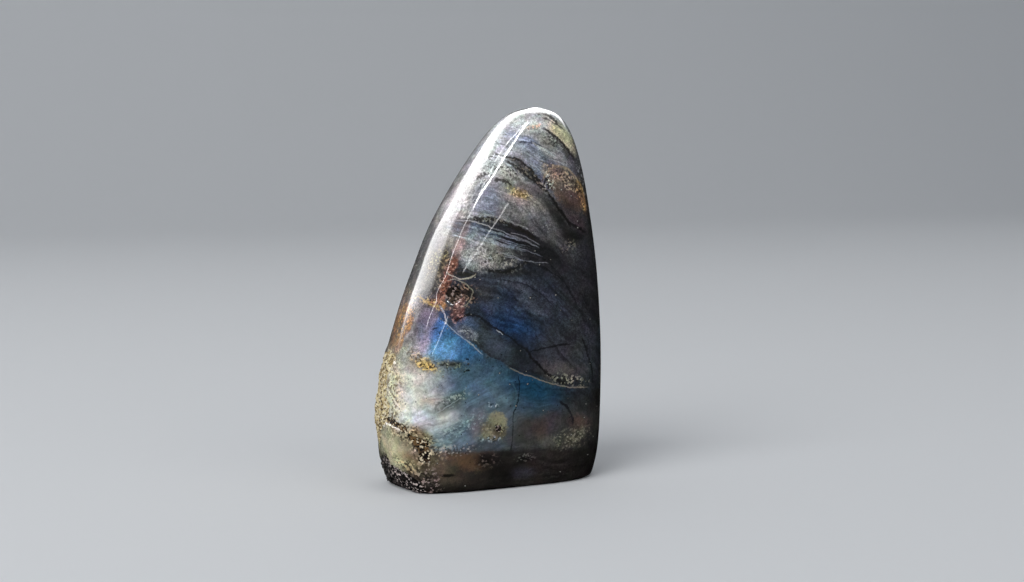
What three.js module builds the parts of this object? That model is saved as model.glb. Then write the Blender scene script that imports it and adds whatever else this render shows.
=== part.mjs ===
// A standing labradorite freeform: one stone, polished all round on a flat sawn base. A raw crust
// is left on its left flank, under a ledge where the polishing stopped, and the left corner of its
// foot is broken off. Millimetres, +Z up, the broad polished face to -Y, the origin on the base in
// the middle of the stone's bounding box.
import * as THREE from "three";
import { ImprovedNoise } from "three/addons/math/ImprovedNoise.js";

// Driving dimensions. The stone is blocked out by four profiles, each read from the base to the tip
// as [height, distance from the upright axis]. LEFT and RIGHT are the outline of the broad face,
// FRONT and BACK are the outline seen from the side.
const LEFT = [
  [0, 31.5], [8, 33.7], [20, 34.3], [35, 32.5], [50, 28.9], [58, 26.5], [66, 23.4], [74, 20.2],
  [81, 16.6], [94, 8.1], [105, -0.1], [111, -7.2], [113, -15.3],
];
const RIGHT = [
  [0, 32.2], [8, 33.7], [20, 34.5], [35, 34.7], [50, 34.2], [66, 33.2],
  [81, 31.3], [94, 28.9], [105, 25.6], [111, 21.4], [113, 15.3],
];
const FRONT = [
  [0, 15], [8, 17], [20, 17.6], [35, 17.7], [50, 17], [66, 15.5],
  [81, 13.6], [94, 11.4], [105, 8.3], [111, 4.9], [113, 0],
];
const BACK = [
  [0, 20], [8, 22.5], [20, 23.5], [35, 23], [50, 21], [66, 18],
  [81, 15.2], [94, 12.4], [105, 9], [111, 5.2], [113, 0],
];
const HEIGHT = 113;

// A section is a squared ellipse: 2 is an ellipse, and more is flatter faces and tighter edges.
const FACE_SQUARENESS = 3.4;
const BACK_SQUARENESS = 2.4;
const RIM_RADIUS = 1.4; // the softened edge round the base

// The mesh: points round the stone, and rings in the base, in its rim and up its wall.
const SEGMENTS = 66;
const BASE_RINGS = 5;
const RIM_RINGS = 3;
const WALL_RINGS = 62;
const WALL_EASE = 1.3; // over 1, the rings crowd towards the tip

// The faint hollows and swells that hand polishing leaves. They die away where the stone is thin.
const LAP = { depth: 0.3, length: 24, seed: 5.3, fullFrom: 8 };

// A lapped facet is a flat that cuts the rounded form: which way it faces, and how far it lies from
// the axis where it meets the base. The higher the edge, the crisper its border.
const FACETS = [
  { facing: [-0.62, 0.72, 0.3], distance: 37.5, edge: 24 }, // back, left
  { facing: [0.66, 0.72, 0.2], distance: 36.5, edge: 24 }, // back, right
  { facing: [0.1, 0.93, 0.35], distance: 44, edge: 24 }, // back, below the tip
];

// The broken corner: a rough flat that takes the left end off the foot.
const BREAK = { facing: [-0.78, -0.2, -0.59], distance: 23.2, edge: 60, roughness: 0.8 };

// The raw crust on the left flank. Its angles go round from +X, so half a turn faces left. It fades
// out to the rear and towards the foot, and steps back at a ledge to the polished face above it.
const CRUST = {
  bottom: 12, top: 41, frontAngle: 186, rearAngle: 150, fade: 9, ledge: 1.6, proud: 0.8, roughness: 0.7,
};
const CRUST_BORDER = { amount: 1.5, angle: 11, height: 9, seed: 3.7 }; // how its border wanders

// The lumps of unpolished rock, on the crust and on the broken corner.
const LUMPS = { length: 4.5, seed: 1.9 };
const SMALL_LUMPS = { length: 2.2, seed: 8.1, share: 0.5 };

// Pits that the polishing left open: where they are, how wide and how deep.
const PITS = [
  { at: [-16.4, -15, 58], radius: 3.2, depth: 0.9 },
  { at: [-27.5, -13, 17], radius: 3.5, depth: 0.7 },
  { at: [-31.5, -9, 20.5], radius: 3, depth: 0.6 },
  { at: [19, 13.5, 63], radius: 4, depth: 1.0 },
  { at: [-9, 22.5, 27], radius: 4.5, depth: 0.9 },
];

const grain = new ImprovedNoise();
const step = THREE.MathUtils.smoothstep;

// Noise at a point, at a length in millimetres; the seed moves the pattern.
function noise(p, { length, seed }) {
  return grain.noise(p.x / length + seed, p.y / length - seed, p.z / length);
}

// A profile as a smooth curve read by height. It only rises, so halving finds the height.
function profile(points) {
  const curve = new THREE.SplineCurve(points.map(([z, distance]) => new THREE.Vector2(distance, z)));
  const halvings = 30;
  return (z) => {
    let low = 0;
    let high = 1;
    for (let i = 0; i < halvings; i++) {
      const middle = (low + high) / 2;
      if (curve.getPoint(middle).y < z) low = middle;
      else high = middle;
    }
    return curve.getPoint(low).x;
  };
}

const left = profile(LEFT);
const right = profile(RIGHT);
const front = profile(FRONT);
const back = profile(BACK);

// The middle of the squared ellipse at a height.
function axisPoint(z) {
  return new THREE.Vector3((right(z) - left(z)) / 2, 0, z);
}

// How far the squared ellipse reaches from the axis, at a height and in a direction.
function blockReach(z, towards) {
  const halfWidth = (right(z) + left(z)) / 2;
  const depth = towards.y < 0 ? front(z) : back(z);
  const squareness = towards.y < 0 ? FACE_SQUARENESS : BACK_SQUARENESS;
  const across = Math.abs(towards.x / halfWidth) ** squareness;
  const through = Math.abs(towards.y / depth) ** squareness;
  return (across + through) ** (-1 / squareness);
}

// How far a flat lies from the axis in a direction, which is endless where it leans away.
function flatReach(flat, axis, towards) {
  const facing = new THREE.Vector3(...flat.facing).normalize();
  const slope = facing.dot(towards);
  return slope > 0 ? (flat.distance - facing.dot(axis)) / slope : Infinity;
}

// The smaller of two reaches, with a soft border between them.
function softMinimum(a, b, edge) {
  return b === Infinity ? a : (a ** -edge + b ** -edge) ** (-1 / edge);
}

// How much of the raw crust there is at a height and an angle in degrees, from 0 to 1.
function crustShare(z, angle) {
  const border = CRUST_BORDER;
  const wander = border.amount * grain.noise(angle / border.angle, z / border.height, border.seed);
  const top = CRUST.top + wander;
  const foremost = CRUST.frontAngle + 3 * wander;
  const underLedge = 1 - step(z, top - CRUST.ledge, top);
  const overFoot = step(z, CRUST.bottom, CRUST.bottom + CRUST.fade);
  const behindFace = 1 - step(angle, foremost - CRUST.fade / 2, foremost);
  const beforeRear = step(angle, CRUST.rearAngle - CRUST.fade, CRUST.rearAngle + CRUST.fade);
  return underLedge * overFoot * behindFace * beforeRear;
}

// How deep the pits are at a point.
function pitDepth(p) {
  return PITS.reduce((depth, pit) => {
    const away = p.distanceTo(new THREE.Vector3(...pit.at)) / pit.radius;
    return depth + pit.depth * Math.max(1 - away * away, 0);
  }, 0);
}

// The finished surface, at a height and an angle in degrees.
function surface(z, angle) {
  const turn = THREE.MathUtils.degToRad(angle);
  const towards = new THREE.Vector3(Math.cos(turn), Math.sin(turn), 0);
  const axis = axisPoint(z);
  let reach = blockReach(z, towards);
  for (const facet of FACETS) reach = softMinimum(reach, flatReach(facet, axis, towards), facet.edge);
  const polished = axis.clone().addScaledVector(towards, reach);
  reach += Math.min(reach / LAP.fullFrom, 1) * LAP.depth * noise(polished, LAP);
  reach -= pitDepth(polished);
  const lumps = noise(polished, LUMPS) + SMALL_LUMPS.share * noise(polished, SMALL_LUMPS);
  reach += crustShare(z, angle) * (CRUST.proud + CRUST.roughness * lumps);
  reach = softMinimum(reach, flatReach(BREAK, axis, towards) + BREAK.roughness * lumps, BREAK.edge);
  if (z < RIM_RADIUS) reach -= RIM_RADIUS - Math.sqrt(RIM_RADIUS ** 2 - (RIM_RADIUS - z) ** 2);
  return axis.addScaledVector(towards, reach);
}

// The height of a ring, counted from the outermost ring of the base.
function ringHeight(ring) {
  if (ring <= RIM_RINGS) return RIM_RADIUS * (1 - Math.cos((ring / RIM_RINGS) * (Math.PI / 2)));
  const rise = (ring - RIM_RINGS) / WALL_RINGS;
  return RIM_RADIUS + (HEIGHT - RIM_RADIUS) * (1 - (1 - rise) ** WALL_EASE);
}

// A sphere whose rows of points become the rings of the base, the rim and the wall.
function stoneGeometry() {
  const rows = BASE_RINGS + RIM_RINGS + WALL_RINGS;
  const geometry = new THREE.SphereGeometry(1, SEGMENTS, rows);
  const points = geometry.getAttribute("position");
  const baseCentre = axisPoint(0);
  for (let i = 0; i < points.count; i++) {
    const row = rows - Math.floor(i / (SEGMENTS + 1)); // the sphere's rows start at its top
    const column = (i % (SEGMENTS + 1)) % SEGMENTS;
    const angle = (column / SEGMENTS) * 360;
    const ring = row - BASE_RINGS;
    let p = axisPoint(HEIGHT);
    if (ring < 0) p = baseCentre.clone().lerp(surface(0, angle), row / BASE_RINGS);
    else if (row < rows) p = surface(ringHeight(ring), angle);
    points.setXYZ(i, p.x, p.y, p.z);
  }
  geometry.computeBoundingBox();
  const middle = geometry.boundingBox.getCenter(new THREE.Vector3());
  geometry.translate(-middle.x, -middle.y, 0);
  geometry.deleteAttribute("uv");
  geometry.computeVertexNormals();
  return geometry;
}

const polishedFeldspar = new THREE.MeshStandardMaterial({ color: 0x48525a, roughness: 0.15, metalness: 0 });

const stone = new THREE.Mesh(stoneGeometry(), polishedFeldspar);
stone.name = "labradorite_stone";

const part = new THREE.Group();
part.add(stone);
export default part;
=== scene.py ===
"""A standing labradorite freeform, hand polished, with a raw crust on its left flank.

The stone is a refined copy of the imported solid, in the same frame: metres, +Z up, the broad
polished face to -Y, standing on its sawn base at z = 0. One material colours it in layers: soft
zones on a dark ground, the blue flash and the plates over it, cleavage, marks and fractures,
broken grains and hair lines, mottling, and last the raw rock.
"""

import math
from types import SimpleNamespace

import bmesh
import bpy
from mathutils import Matrix, Vector, noise


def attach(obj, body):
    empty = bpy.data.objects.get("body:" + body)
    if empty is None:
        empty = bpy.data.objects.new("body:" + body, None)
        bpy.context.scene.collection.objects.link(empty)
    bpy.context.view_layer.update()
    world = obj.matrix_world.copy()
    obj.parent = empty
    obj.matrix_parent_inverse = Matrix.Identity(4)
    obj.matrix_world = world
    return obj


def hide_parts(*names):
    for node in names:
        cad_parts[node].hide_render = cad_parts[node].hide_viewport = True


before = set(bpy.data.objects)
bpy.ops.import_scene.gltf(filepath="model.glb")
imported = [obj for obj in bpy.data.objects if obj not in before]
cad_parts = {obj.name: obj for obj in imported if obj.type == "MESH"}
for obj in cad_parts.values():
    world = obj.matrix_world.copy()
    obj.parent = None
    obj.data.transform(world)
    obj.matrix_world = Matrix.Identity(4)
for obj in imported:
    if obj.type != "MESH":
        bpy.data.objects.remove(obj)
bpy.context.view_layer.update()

MM = 0.001


# ---------------------------------------------------------------- helpers


def linear(code):
    """An sRGB hex colour as linear RGBA."""
    parts = [int(code[i : i + 2], 16) / 255 for i in (1, 3, 5)]
    return [c / 12.92 if c <= 0.04045 else ((c + 0.055) / 1.055) ** 2.4 for c in parts] + [1.0]


def add(tree, kind, inputs=None, **settings):
    """Adds a node. inputs gives its sockets' values, or the sockets that feed them."""
    made = tree.nodes.new("ShaderNode" + kind)
    for name, value in settings.items():
        setattr(made, name, value)
    for name, value in (inputs or {}).items():
        if isinstance(value, bpy.types.NodeSocket):
            tree.links.new(value, made.inputs[name])
        else:
            made.inputs[name].default_value = value
    return made


def new_material(name):
    """An empty node material, and its tree."""
    material = bpy.data.materials.new(name)
    material.use_nodes = True
    material.node_tree.nodes.clear()
    return material, material.node_tree


# ---------------------------------------------------------------- camera, floor and lamps

CAMERA_PLACE = (-160.0 * MM, -399.7 * MM, 100.0 * MM)
CAMERA_HEADING = -22.95  # degrees from +Y, towards +X
CAMERA_DOWN = 5.66  # degrees below the horizon
CAMERA_LENS, SENSOR_WIDTH = 50, 36  # millimetres
CAMERA_NEAREST = 0.01  # metres


def make_camera():
    """The camera stands to the left of the stone's middle and looks slightly down on it."""
    data = bpy.data.cameras.new("camera")
    data.lens, data.sensor_width = CAMERA_LENS, SENSOR_WIDTH
    data.clip_start = CAMERA_NEAREST
    camera = bpy.data.objects.new("camera", data)
    camera.location = CAMERA_PLACE
    camera.rotation_euler = (math.radians(90 - CAMERA_DOWN), 0, math.radians(CAMERA_HEADING))
    bpy.context.scene.collection.objects.link(camera)
    bpy.context.scene.camera = camera
    # The lamps and colours are set for plain sRGB, without a film's curve.
    bpy.context.scene.view_settings.view_transform = "Standard"


# The floor in metres: half its width, how near it starts and how far it lies flat, the radius of
# the curve it turns up in, and the height it reaches.
FLOOR_HALF_WIDTH, FLOOR_NEAR, FLOOR_FAR, FLOOR_BEND, FLOOR_TOP = 3.0, -2.2, 1.3, 0.9, 2.6
FLOOR_STEPS = 24  # along that curve


def matte_paper():
    """Seamless background paper: no gloss at all, one even pale grey."""
    material, tree = new_material("background_paper")
    look = {"Base Color": linear("#d6d8da"), "Roughness": 0.95, "Specular IOR Level": 0.1}
    shader = add(tree, "BsdfPrincipled", look)
    add(tree, "OutputMaterial", {"Surface": shader.outputs[0]})
    return material


def make_floor():
    """A plain pale sheet that lies flat and turns up behind the stone in one wide curve."""
    mesh = bmesh.new()
    ends = [mesh.verts.new((x, FLOOR_FAR, 0)) for x in (-FLOOR_HALF_WIDTH, FLOOR_HALF_WIDTH)]
    foot = mesh.edges.new(ends)
    turned = bmesh.ops.spin(
        mesh,
        geom=[*ends, foot],
        cent=(0, FLOOR_FAR, FLOOR_BEND),
        axis=(1, 0, 0),
        angle=math.radians(90),
        steps=FLOOR_STEPS,
    )["geom_last"]
    head = next(part for part in turned if isinstance(part, bmesh.types.BMEdge))
    to_front, to_top = (0, FLOOR_NEAR - FLOOR_FAR, 0), (0, 0, FLOOR_TOP - FLOOR_BEND)
    for edge, way in ((foot, to_front), (head, to_top)):
        drawn = bmesh.ops.extrude_edge_only(mesh, edges=[edge])["geom"]
        moved = [part for part in drawn if isinstance(part, bmesh.types.BMVert)]
        bmesh.ops.translate(mesh, verts=moved, vec=way)
    bmesh.ops.recalc_face_normals(mesh, faces=mesh.faces)
    data = bpy.data.meshes.new("floor")
    mesh.to_mesh(data)
    mesh.free()
    data.shade_smooth()
    floor = bpy.data.objects.new("floor", data)
    bpy.context.scene.collection.objects.link(floor)
    data.materials.append(matte_paper())
    floor.visible_glossy = False


# Soft square lamps that light the stone's colours and the floor, and do not show in the polish:
# name, compass angle from the front towards the left, height angle, distance and side in metres,
# watts.
SOFT_LAMPS = [
    ("key", 58, 42, 1.8, 1.2, 21.0),
    ("fill", -30, 34, 2.0, 1.4, 4.5),
]
LEVEL = (1, 0.01, 0)  # the way their sides run

# Panes that show in the polish alone: name, middle in metres, the way it faces, the way its width
# runs, width and height in metres, radiance.
PANES = [
    ("left_pane", (-1.0, 0.65, 1.0), (1, 0, 0), (0, 0.988, -0.156), 2.2, 1.46, 5.5),
    ("rear_ceiling", (0.5, 1.1, 1.1), (0, 0, -1), (1, 0, 0), 3.2, 2.2, 4.6),
]
PANE_SOFTNESS = 0.16  # the share of a pane over which it dims towards each border

# Narrow strips of light that draw the thin lines in the polish: name, the points they run through
# as compass angle towards the left and height angle, width in degrees, radiance.
STRIPS = [
    ("upper_strip", [(-31, 57), (-8, 49), (20, 47), (25, 36)], 1.1, 19.0),
    ("second_strip", [(-29, 54), (-9, 41), (13, 35.5), (24, 34)], 3.0, 23.0),
    ("long_strip", [(24, 35), (31, 26.5), (40, 21), (52, 13)], 0.9, 12.0),
    ("low_strip", [(-19, 16.5), (-3, 15), (8, 15.8)], 0.3, 6.0),
    ("lowest_strip", [(14, 8), (27, 4)], 0.4, 8.0),
]
STRIP_DISTANCE = 1.0  # metres from the stone
LAMP_TARGET = Vector((0.0, 0.0, 55 * MM))
WATTS_PER_RADIANCE = 4.0  # for each square metre of an area lamp

# The air of the studio, which lights everything evenly and does not show in the polish.
AIR_COLOUR, AIR_STRENGTH = "#c8ccd2", 0.55


def towards(around, up):
    """The direction at a compass angle from the front towards the left, and a height angle."""
    around, up = math.radians(around), math.radians(up)
    level = math.cos(up)
    return Vector((-math.sin(around) * level, -math.cos(around) * level, math.sin(up)))


def area_lamp(name, place, facing, across, width, height, watts, in_polish):
    """A rectangle of light; across is the way its width runs."""
    data = bpy.data.lights.new(name, "AREA")
    data.shape = "RECTANGLE"
    data.size, data.size_y = width, height
    data.energy = watts
    lamp = bpy.data.objects.new(name, data)
    back = -Vector(facing).normalized()
    side = (Vector(across) - back * back.dot(Vector(across))).normalized()
    turn = Matrix((side, back.cross(side), back)).transposed().to_4x4()
    lamp.matrix_world = Matrix.Translation(place) @ turn
    lamp.visible_camera = False
    lamp.visible_diffuse = not in_polish
    lamp.visible_glossy = in_polish
    bpy.context.scene.collection.objects.link(lamp)
    return data


def soften_borders(data):
    """Dims a pane of light towards its borders."""
    data.use_nodes = True
    tree = data.node_tree
    place = add(tree, "SeparateXYZ", {0: add(tree, "NewGeometry").outputs["Parametric"]})
    strength = 1.0
    for axis in ("X", "Y"):
        off_middle = add(tree, "Math", {0: place.outputs[axis], 1: 0.5}, operation="SUBTRACT")
        away = add(tree, "Math", {0: off_middle.outputs[0]}, operation="ABSOLUTE")
        borders = {"Value": away.outputs[0], "From Min": 0.5, "From Max": 0.5 - PANE_SOFTNESS}
        within = add(tree, "MapRange", borders, interpolation_type="SMOOTHSTEP").outputs[0]
        strength = add(tree, "Math", {0: within, 1: strength}, operation="MULTIPLY").outputs[0]
    tree.links.new(strength, tree.nodes["Emission"].inputs["Strength"])


def make_lamps():
    """The soft lamps, the panes, and a chain of narrow lamps for each strip."""
    for name, around, up, distance, side, watts in SOFT_LAMPS:
        place = LAMP_TARGET + towards(around, up) * distance
        area_lamp(name, place, LAMP_TARGET - place, LEVEL, side, side, watts, False)
    for name, place, facing, across, width, height, radiance in PANES:
        watts = radiance * width * height * WATTS_PER_RADIANCE
        soften_borders(area_lamp(name, place, facing, across, width, height, watts, True))
    for name, points, degrees, radiance in STRIPS:
        corners = [LAMP_TARGET + towards(*angles) * STRIP_DISTANCE for angles in points]
        for start, end in zip(corners, corners[1:]):
            middle = (start + end) / 2
            length = (end - start).length
            width = math.radians(degrees) * (middle - LAMP_TARGET).length
            watts = radiance * length * width * WATTS_PER_RADIANCE
            area_lamp(name, middle, LAMP_TARGET - middle, end - start, length, width, watts, True)


def make_air():
    """Even pale light from all round."""
    world = bpy.data.worlds.new("studio_air")
    bpy.context.scene.world = world
    world.use_nodes = True
    background = world.node_tree.nodes["Background"]
    background.inputs["Color"].default_value = linear(AIR_COLOUR)
    background.inputs["Strength"].default_value = AIR_STRENGTH
    world.cycles_visibility.glossy = False


# ---------------------------------------------------------------- the stone's colours
#
# Labradorite is a dark calcium feldspar, so its flakes lie in parallel sheets and it breaks along
# them. Places are millimetres: x to the right and z up, on the broad face or on the back. A tilt
# is in degrees, and runs down to the right. Every table is painted in the order of its rows.

FRONT, FLANK, BACK = -17.0, 3.0, 20.0  # the depth at which the ovals of each side are centred
OVAL_DEPTH = 17.0

# Colour zones: name, x, z, half length, half width, tilt, softness as a share of the size,
# raggedness, strength, colour.
FACE_ZONES = [
    ("blue grey shoulder", 6, 97, 24, 15, 25, 0.45, 0.1, 0.95, "#7c808b"),
    ("pale cap", 7, 108, 15, 5.0, 0, 0.6, 0.1, 0.95, "#d6dcdb"),
    ("pale left rim", -5.2, 90, 17, 5.0, -60, 0.7, 0.15, 0.95, "#d3d3d6"),
    ("pale left shoulder", 0.8, 101.2, 10, 4.2, -55, 0.6, 0.15, 0.95, "#d2d4d4"),
    ("slate panel", -2.5, 85.2, 8, 5.5, 12, 0.5, 0.1, 0.95, "#8c90a0"),
    ("grey left rim", -12.5, 82, 16, 3.6, -66, 0.5, 0.15, 0.85, "#b0aaa8"),
    ("green grey wedge", 4.2, 91.2, 8.0, 2.8, 24, 0.5, 0.2, 0.95, "#b6b6aa"),
    # Partly the rock's own dark colour and partly painted shade, where the right shoulder rounds
    # away from the lamps.
    ("dark right shoulder", 31, 84, 22, 7, 76, 0.5, 0.1, 0.9, "#2f2b28"),
    # Painted shade along the right edge, high up, where it rounds away from the lamps.
    ("painted shade of the right edge, high", 31.2, 83, 12, 2.6, 78, 0.8, 0.15, 0.9, "#181513"),
    ("left olive strip", -20.6, 64.6, 9.5, 3.2, -68, 0.4, 0.3, 0.9, "#5a5247"),
    ("plum flank", 22, 55, 28, 16, 80, 0.4, 0.1, 0.97, "#29292d"),
    ("plum middle", 18, 41, 12, 9, 40, 0.8, 0.15, 0.8, "#3a3940"),
    ("mauve left", -25, 51, 10, 5.5, -62, 0.5, 0.1, 0.95, "#68616d"),
    ("steel field", -12, 25, 19, 15, 0, 0.4, 0.1, 0.95, "#66747c"),
    ("plum lower right", 24, 26, 15, 11, 20, 0.5, 0.1, 0.95, "#292a2d"),
    # Painted shade along the right edge, low down, where it rounds away from the lamps.
    ("painted shade of the right edge, low", 31.5, 26, 26, 3.4, 88, 0.9, 0.15, 0.85, "#1d1b19"),
    ("mottled lower right", 14, 17, 17, 7.5, 0, 0.5, 0.2, 0.92, "#403e3b"),
    ("cream patch", -31, 29, 12, 10.5, -70, 0.6, 0.1, 0.98, "#ece7d8"),
    ("cream fade", -23, 24, 9, 6, 65, 0.9, 0.15, 0.8, "#c4cac6"),
    ("grey above cream", -28.5, 39.8, 5, 3.5, 0, 0.7, 0.2, 0.8, "#a8a595"),
    ("warm cream", -33, 33, 7, 1.8, -84, 0.9, 0.2, 0.5, "#d2bc93"),
    ("warm spot", -23.2, 28, 3, 1.0, -10, 0.9, 0.3, 0.45, "#c6ab90"),
    ("white haze", -27.6, 22.8, 3.6, 2.4, 20, 0.9, 0.2, 0.8, "#eceff2"),
    ("yellow green corner", -32, 13.2, 7.2, 6, 50, 0.5, 0.15, 0.97, "#dbd6ae"),
    ("tan flank", -28.8, 49.6, 9, 0.75, -73, 0.6, 0.3, 0.95, "#b27a3c"),
    ("pale strip of the flank", -26.8, 51.6, 6.5, 0.6, -72, 0.9, 0.3, 0.7, "#a7a09d"),
]

# The blue flash: light sent back by sheets finer than a wavelength, in fields with their own blue.
FACE_FLASH = [
    ("teal sheet", -1, 35.4, 20, 5.4, 14, 0.6, 0.1, 0.9, "#2e4c60"),
    ("deep teal", 6.2, 30.6, 8, 3.4, 12, 0.7, 0.1, 0.95, "#1b4560"),
    ("teal right of it", 14, 29, 5, 2.6, 20, 0.9, 0.1, 0.8, "#22333e"),
    ("teal fade", 6.5, 25.2, 9, 3.2, 8, 0.9, 0.1, 0.75, "#38566a"),
    ("pale teal", -12.0, 32.4, 9, 5.6, 4, 0.9, 0.1, 0.8, "#5f8098"),
    ("azure", -17.2, 44.6, 8.2, 5.4, 27, 0.35, 0.08, 0.97, "#3c6f9d"),
    ("azure tip", -20.4, 50.0, 5.0, 2.2, -66, 0.4, 0.1, 0.95, "#527fbd"),
    ("azure core", -20.6, 42.9, 4.8, 2.8, -10, 0.9, 0.1, 0.9, "#78b5e2"),
    ("steel blue", -17, 18, 9, 3.5, -12, 0.9, 0.1, 0.65, "#6b909b"),
    ("lower blue", -6, 14.4, 5, 1.3, 0, 0.6, 0.2, 0.6, "#4a5562"),
]

# Plates that end in a clean line: name, three points of the line, 1 to fill inside the circle
# through them or -1 outside it, the line's softness in millimetres, the oval that holds it, colour.
FACE_PLATES = [
    ("above the sickle", ((-18.9, 50.5), (-1.7, 38.1), (24.1, 28.9)), 1, 0.3,
     (8, 43, 33, 15, 27, 0.3, 0.05, 0.97), "#2c3035"),
    ("above its roof", ((-14, 52), (-3.8, 47.8), (5.3, 41.3)), -1, 0.6,
     (0, 56, 18, 13, 25, 0.45, 0.05, 0.95), "#252c39"),
    ("dark lamellae", ((-9, 80.4), (-1.4, 79.5), (14, 70.8)), 1, 0.4,
     (-1, 75, 15, 6.4, 17, 0.3, 0.1, 0.97), "#24242b"),
    ("saddle", ((-9, 80.4), (-1.4, 79.5), (14, 70.8)), -1, 0.5,
     (10, 80.5, 14, 7.5, 42, 0.5, 0.1, 0.95), "#5b5a5b"),
    ("slate above the fracture", ((2.1, 98.1), (10.1, 92.6), (20.6, 78.1)), -1, 0.4,
     (11, 95, 13, 6, 42, 0.6, 0.1, 0.9), "#5f6375"),
    ("grey lump", ((-10, 66.2), (-1, 65.8), (6.5, 68.4)), 1, 0.3,
     (-4, 69.0, 9.8, 3.8, 8, 0.3, 0.2, 0.95), "#565557"),
    ("yellow shoulder", ((15, 106.6), (20.3, 102.5), (24, 97.3)), -1, 0.25,
     (20.8, 104.4, 6.4, 2.8, 50, 0.5, 0.2, 0.95), "#c8be9a"),
    ("teal beside the crack", ((2.6, 34.3), (2.5, 28), (0.8, 20)), -1, 0.3,
     (7.5, 29.6, 8, 3.6, 14, 0.6, 0.1, 0.6), "#1c4b68"),
    ("foot", ((-23, 12.9), (0, 12.3), (25, 10)), 1, 1.2,
     (3, 3, 33, 11, 0, 0.2, 0.05, 0.95), "#272320"),
]

# Fields of flash on those plates, and then plain zones on them.
FLASH_ON_PLATES = [
    ("indigo window", 1.2, 48.6, 7.0, 3.6, 30, 0.9, 0.2, 0.95, "#214269"),
    ("indigo haze", 0, 56, 11, 4.5, 18, 0.9, 0.15, 0.6, "#2c384c"),
    ("blue patch in the haze", -6.5, 54.6, 2.6, 1.6, 10, 0.8, 0.4, 0.7, "#3c4560"),
    ("blue patch in the haze 2", 5.4, 56.8, 4.0, 1.8, -30, 0.8, 0.4, 0.7, "#434e66"),
    ("violet beside it", -13.6, 49.4, 3.4, 2.2, 34, 0.7, 0.15, 0.8, "#58688a"),
    ("blue lamella", -7.2, 76.2, 3.6, 1.4, 14, 0.7, 0.3, 0.85, "#31517f"),
    ("blue spot high", 9, 103.1, 4.2, 1.0, 18, 0.8, 0.3, 0.85, "#4d6590"),
]

ZONES_ON_PLATES = [
    ("slate under the lump", 0, 61.6, 8, 2.0, 8, 0.9, 0.2, 0.8, "#464a55"),
    ("shadow of the lump", 1, 64.4, 7, 1.3, -4, 0.7, 0.3, 0.85, "#252423"),
    ("olive left of the haze", -8, 58.6, 4, 2.4, 30, 0.9, 0.2, 0.7, "#3d3e3c"),
    ("grey right of the haze", 8, 56.4, 6, 3.0, 30, 0.9, 0.2, 0.75, "#4b5059"),
    ("navy right", 13, 38, 9, 5, 30, 0.9, 0.1, 0.6, "#33353f"),
    ("plum right", 19, 44, 8, 7, 30, 0.9, 0.1, 0.6, "#36353b"),
    ("blue grey of the sickle", -3.6, 42.8, 6, 2.0, 40, 0.8, 0.3, 0.8, "#414e59"),
    ("dark of the sickle", 3.6, 41.4, 5, 1.6, 45, 0.8, 0.3, 0.75, "#171c20"),
    ("pale above the sickle", 17, 34.6, 6, 2.4, 6, 0.9, 0.2, 0.8, "#57514e"),
    ("saddle light", 5.4, 86.2, 6.6, 2.6, 26, 0.9, 0.2, 0.9, "#938b80"),
    ("saddle grey", 2.6, 81.8, 5.6, 1.9, 14, 0.9, 0.2, 0.85, "#807f7f"),
    ("saddle shade", 15.6, 83.2, 7.5, 1.9, 56, 0.8, 0.2, 0.85, "#33312f"),
    ("saddle end", 18.6, 79.4, 4.4, 2.4, 56, 0.8, 0.2, 0.9, "#1f1f20"),
    ("lamellae, left", -7.6, 76.4, 4.6, 1.8, 14, 0.8, 0.3, 0.85, "#5a6070"),
    ("lamellae, right", 12, 76.6, 5.4, 1.6, 26, 0.9, 0.3, 0.8, "#4d4d51"),
    ("lamellae, dark end", 10.6, 70.6, 7.5, 3.4, 20, 0.7, 0.2, 0.95, "#1c1c1e"),
    ("over the lump", -5, 72.0, 4.6, 1.3, 12, 0.8, 0.3, 0.85, "#918f8b"),
    ("slate highlight", 4.8, 99.2, 7, 2.2, 20, 0.8, 0.3, 0.9, "#b8bac3"),
    ("blue of the top", 9.0, 102.2, 4.4, 2.2, 20, 0.8, 0.3, 0.85, "#a0acbe"),
    ("brown of the top", 15.8, 102.2, 3.4, 2.0, 40, 0.8, 0.3, 0.85, "#706d66"),
    ("violet slate", 10.8, 97.0, 5.0, 1.8, 34, 0.8, 0.3, 0.85, "#676a79"),
    ("grey ledge", 17.2, 98.8, 3.8, 1.4, 30, 0.8, 0.3, 0.8, "#989590"),
    ("tan of the ledge", 16.4, 93.2, 3.8, 1.5, 24, 0.8, 0.3, 0.8, "#857a70"),
    ("dark under the yellow", 19.4, 101.6, 4.6, 1.2, 52, 0.8, 0.3, 0.85, "#4b463d"),
    ("pale lamellae", -9.4, 74.2, 4.0, 1.6, 15, 0.8, 0.3, 0.85, "#98a2a6"),
    ("lamellae, dark middle", 1.6, 74.4, 5.0, 1.7, 16, 0.8, 0.2, 0.8, "#121217"),
]

# Fields of fine sheets, which only shade the colour: an oval as above up to its softness, then how
# far apart the sheets are, and how dark and how light they make it.
FACE_SHEETS = [
    ("top", 9, 98, 15, 9, 26, 0.5, 0.8, 0.6, 1.45),
    ("saddle", 11, 79.5, 13, 8, 48, 0.5, 1.0, 0.6, 1.35),
    ("slate panel", -4, 85, 8, 5, 13, 0.5, 0.7, 0.75, 1.25),
    ("lamellae", -2, 74, 16, 7, 16, 0.4, 0.8, 0.45, 1.35),
    ("plum", 20, 50, 26, 16, 44, 0.5, 1.3, 0.62, 1.45),
    ("indigo", -2, 56, 15, 9, 17, 0.5, 1.0, 0.65, 1.4),
    ("steel", -12, 23, 20, 13, -22, 0.4, 0.7, 0.76, 1.25),
    ("teal", 8, 30, 14, 7, 8, 0.5, 1.2, 0.75, 1.3),
    ("foot", 0, 5, 32, 8, 3, 0.5, 1.4, 0.6, 1.5),
    ("left rim", -14, 82, 24, 6, -66, 0.5, 0.9, 0.6, 1.35),
]

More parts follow.
